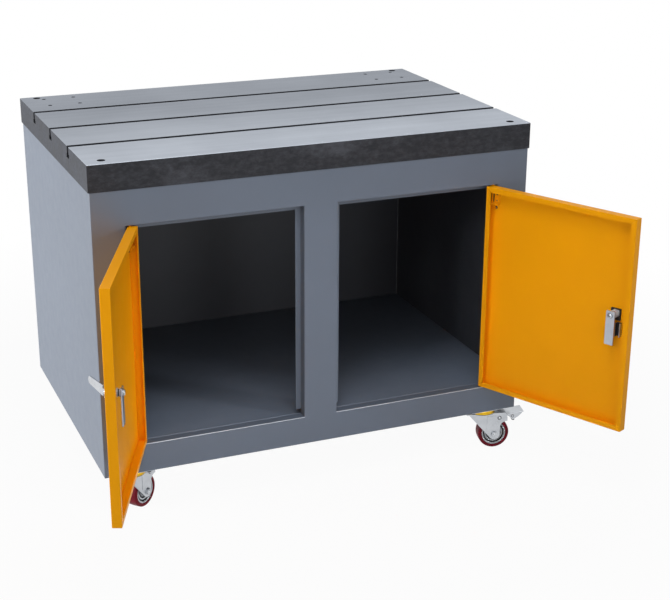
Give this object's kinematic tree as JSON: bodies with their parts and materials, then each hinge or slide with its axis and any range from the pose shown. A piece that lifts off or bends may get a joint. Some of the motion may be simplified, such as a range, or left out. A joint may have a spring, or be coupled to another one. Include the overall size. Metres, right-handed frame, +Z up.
{
  "type": "threading machine stand",
  "caption": "Rolling workshop stand: a thick T-slotted steel table on a grey sheet-metal cabinet with hinged orange doors, swing-lever cam locks and braked swivel casters.",
  "frame": {"origin": "the point on the floor under the middle of the cabinet", "axes": "+X along the table to the right as seen from the doors, -Y out of the doors, +Z up"},
  "size_m": [1.1525, 1.027, 0.7943],
  "materials": {
    "cast_steel": "ground top, darker sawn sides",
    "black_steel": "black oxide",
    "zinc_plate": "bright zinc plate",
    "yellow_ring": "yellow passivated zinc",
    "grey_core": "pale grey wheel core",
    "red_tread": "glossy dark red polyurethane",
    "grey_paint": "semi-gloss grey powder coat",
    "orange_paint": "glossy orange-yellow powder coat",
    "chrome": "chromed die casting"
  },
  "bodies": {
    "cabinet": {"table_plate": "cast_steel", "table_bolt_front_left": "black_steel", "table_bolt_front_right": "black_steel", "table_bolt_rear_left": "black_steel", "table_bolt_rear_right": "black_steel", "angle_frame": "black_steel", "left_side": "grey_paint", "right_side": "grey_paint", "back_panel": "grey_paint", "base_plate": "grey_paint", "cabinet_floor": "grey_paint", "front_frame": "grey_paint", "front_left_caster_plate": "zinc_plate", "front_right_caster_plate": "zinc_plate", "rear_left_caster_plate": "zinc_plate", "rear_right_caster_plate": "zinc_plate"},
    "left_door_leaf": {"left_door": "orange_paint", "left_pin_guide": "orange_paint", "left_lock_housing": "chrome", "left_lock_clip": "zinc_plate"},
    "left_pin": {"left_hinge_pin": "orange_paint"},
    "left_lock": {"left_lock_spindle": "chrome", "left_cam": "zinc_plate", "left_cam_bolt": "zinc_plate"},
    "left_handle": {"left_lever": "chrome"},
    "left_button": {"left_lock_button": "chrome"},
    "right_door_leaf": {"right_door": "orange_paint", "right_pin_guide": "orange_paint", "right_lock_housing": "chrome", "right_lock_clip": "zinc_plate"},
    "right_pin": {"right_hinge_pin": "orange_paint"},
    "right_lock": {"right_lock_spindle": "chrome", "right_cam": "zinc_plate", "right_cam_bolt": "zinc_plate"},
    "right_handle": {"right_lever": "chrome"},
    "right_button": {"right_lock_button": "chrome"},
    "front_left_caster": {"front_left_fork": "zinc_plate", "front_left_swivel_ring": "yellow_ring", "front_left_axle": "zinc_plate"},
    "front_left_wheel": {"front_left_wheel_core": "grey_core", "front_left_tyre": "red_tread"},
    "front_left_pedal": {"front_left_brake_pedal": "zinc_plate"},
    "front_right_caster": {"front_right_fork": "zinc_plate", "front_right_swivel_ring": "yellow_ring", "front_right_axle": "zinc_plate"},
    "front_right_wheel": {"front_right_wheel_core": "grey_core", "front_right_tyre": "red_tread"},
    "front_right_pedal": {"front_right_brake_pedal": "zinc_plate"},
    "rear_left_caster": {"rear_left_fork": "zinc_plate", "rear_left_swivel_ring": "yellow_ring", "rear_left_axle": "zinc_plate"},
    "rear_left_wheel": {"rear_left_wheel_core": "grey_core", "rear_left_tyre": "red_tread"},
    "rear_left_pedal": {"rear_left_brake_pedal": "zinc_plate"},
    "rear_right_caster": {"rear_right_fork": "zinc_plate", "rear_right_swivel_ring": "yellow_ring", "rear_right_axle": "zinc_plate"},
    "rear_right_wheel": {"rear_right_wheel_core": "grey_core", "rear_right_tyre": "red_tread"},
    "rear_right_pedal": {"rear_right_brake_pedal": "zinc_plate"}
  },
  "joints": [
    {"name": "left_door_hinge", "type": "hinge", "parent": "cabinet", "child": "left_door_leaf", "pos_m": [-0.416, -0.327, 0.4155], "axis": [0, 0, 1], "range_deg": [-8.2, 112.8]},
    {"name": "left_pin_slide", "type": "slide", "parent": "left_door_leaf", "child": "left_pin", "axis": [0, 0, -1], "range_m": [0, 0.012]},
    {"name": "left_lock_turn", "type": "hinge", "parent": "left_door_leaf", "child": "left_lock", "pos_m": [-0.54888, -0.6302, 0.4375], "axis": [-0.9219, 0.3875, 0], "range_deg": [0, 90]},
    {"name": "left_lever_flip", "type": "hinge", "parent": "left_lock", "child": "left_handle", "pos_m": [-0.5521, -0.62884, 0.4375], "axis": [0, 0, -1], "range_deg": [0, 33]},
    {"name": "left_button_press", "type": "slide", "parent": "left_door_leaf", "child": "left_button", "axis": [0.9219, -0.3875, 0], "range_m": [0, 0.0012], "stiffness_N_per_m": 400, "springref_m": -0.001},
    {"name": "right_door_hinge", "type": "hinge", "parent": "cabinet", "child": "right_door_leaf", "pos_m": [0.416, -0.327, 0.4155], "axis": [0, 0, -1], "range_deg": [-4.9, 116.1]},
    {"name": "right_pin_slide", "type": "slide", "parent": "right_door_leaf", "child": "right_pin", "axis": [0, 0, -1], "range_m": [0, 0.012]},
    {"name": "right_lock_turn", "type": "hinge", "parent": "right_door_leaf", "child": "right_lock", "pos_m": [0.56611, -0.62205, 0.4375], "axis": [-0.898, -0.4399, 0], "range_deg": [0, 90]},
    {"name": "right_lever_flip", "type": "hinge", "parent": "right_lock", "child": "right_handle", "pos_m": [0.56925, -0.62051, 0.4375], "axis": [0, 0, 1], "range_deg": [0, 33]},
    {"name": "right_button_press", "type": "slide", "parent": "right_door_leaf", "child": "right_button", "axis": [-0.898, -0.4399, 0], "range_m": [0, 0.0012], "stiffness_N_per_m": 400, "springref_m": -0.001},
    {"name": "front_left_swivel", "type": "hinge", "parent": "cabinet", "child": "front_left_caster", "pos_m": [-0.43, -0.295, 0.095], "axis": [0, 0, 1], "continuous": true},
    {"name": "front_left_wheel_spin", "type": "hinge", "parent": "front_left_caster", "child": "front_left_wheel", "pos_m": [-0.4083, -0.2773, 0.0375], "axis": [-0.632, 0.7749, 0], "continuous": true},
    {"name": "front_left_brake", "type": "hinge", "parent": "front_left_caster", "child": "front_left_pedal", "pos_m": [-0.39978, -0.27035, 0.07959], "axis": [-0.632, 0.7749, 0], "range_deg": [0, 12]},
    {"name": "front_right_swivel", "type": "hinge", "parent": "cabinet", "child": "front_right_caster", "pos_m": [0.43, -0.295, 0.095], "axis": [0, 0, 1], "continuous": true},
    {"name": "front_right_wheel_spin", "type": "hinge", "parent": "front_right_caster", "child": "front_right_wheel", "pos_m": [0.4572, -0.30163, 0.0375], "axis": [0.2368, 0.9715, 0], "continuous": true},
    {"name": "front_right_brake", "type": "hinge", "parent": "front_right_caster", "child": "front_right_pedal", "pos_m": [0.46789, -0.30424, 0.07959], "axis": [0.2368, 0.9715, 0], "range_deg": [0, 12]},
    {"name": "rear_left_swivel", "type": "hinge", "parent": "cabinet", "child": "rear_left_caster", "pos_m": [-0.43, 0.295, 0.095], "axis": [0, 0, 1], "continuous": true},
    {"name": "rear_left_wheel_spin", "type": "hinge", "parent": "rear_left_caster", "child": "rear_left_wheel", "pos_m": [-0.40442, 0.30639, 0.0375], "axis": [-0.4067, 0.9135, 0], "continuous": true},
    {"name": "rear_left_brake", "type": "hinge", "parent": "rear_left_caster", "child": "rear_left_pedal", "pos_m": [-0.39437, 0.31086, 0.07959], "axis": [-0.4067, 0.9135, 0], "range_deg": [0, 12]},
    {"name": "rear_right_swivel", "type": "hinge", "parent": "cabinet", "child": "rear_right_caster", "pos_m": [0.43, 0.295, 0.095], "axis": [0, 0, 1], "continuous": true},
    {"name": "rear_right_wheel_spin", "type": "hinge", "parent": "rear_right_caster", "child": "rear_right_wheel", "pos_m": [0.454, 0.28058, 0.0375], "axis": [0.515, 0.8572, 0], "continuous": true},
    {"name": "rear_right_brake", "type": "hinge", "parent": "rear_right_caster", "child": "rear_right_pedal", "pos_m": [0.46343, 0.27491, 0.07959], "axis": [0.515, 0.8572, 0], "range_deg": [0, 12]}
  ]
}
